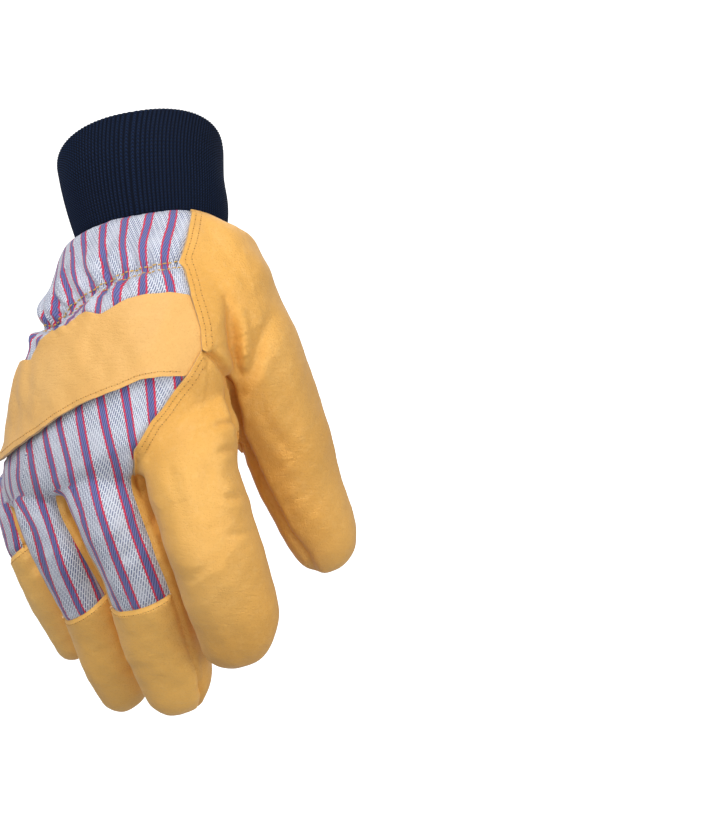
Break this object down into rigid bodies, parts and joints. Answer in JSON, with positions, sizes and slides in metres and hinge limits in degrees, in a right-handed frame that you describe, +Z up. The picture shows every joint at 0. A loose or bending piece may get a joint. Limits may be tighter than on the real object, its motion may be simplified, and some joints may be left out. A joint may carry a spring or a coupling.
{
  "type": "work glove",
  "caption": "Right-hand leather palm work glove with striped canvas back, knuckle strap, leather fingertips, pull loop and ribbed knit cuff, standing open in a relaxed curled shape",
  "frame": {"origin": "centre of the cuff opening at its rim", "axes": "+Z up out of the cuff, fingers point down along -Z, the back of the hand faces -Y, the thumb is on the +X side"},
  "size_m": [0.1576, 0.1374, 0.2668],
  "materials": {
    "leather": "golden tan grain leather, soft sheen, fine grain and creases",
    "canvas": "pale grey-blue twill with blue stripes edged in red",
    "knit": "navy fine rib knit, matte"
  },
  "bodies": {
    "root": {"knit_cuff": "knit", "hand_back": "canvas", "knuckle_strap": "leather", "palm": "leather", "middle_front": "leather", "ring_front": "leather", "middle_tip": "leather", "ring_tip": "leather", "little_tip": "leather", "fourchette_middle": "leather", "fourchette_ring": "leather", "fourchette_little": "leather", "thumb_back": "leather", "thumb_front": "leather", "pull_loop": "leather"}
  },
  "joints": []
}
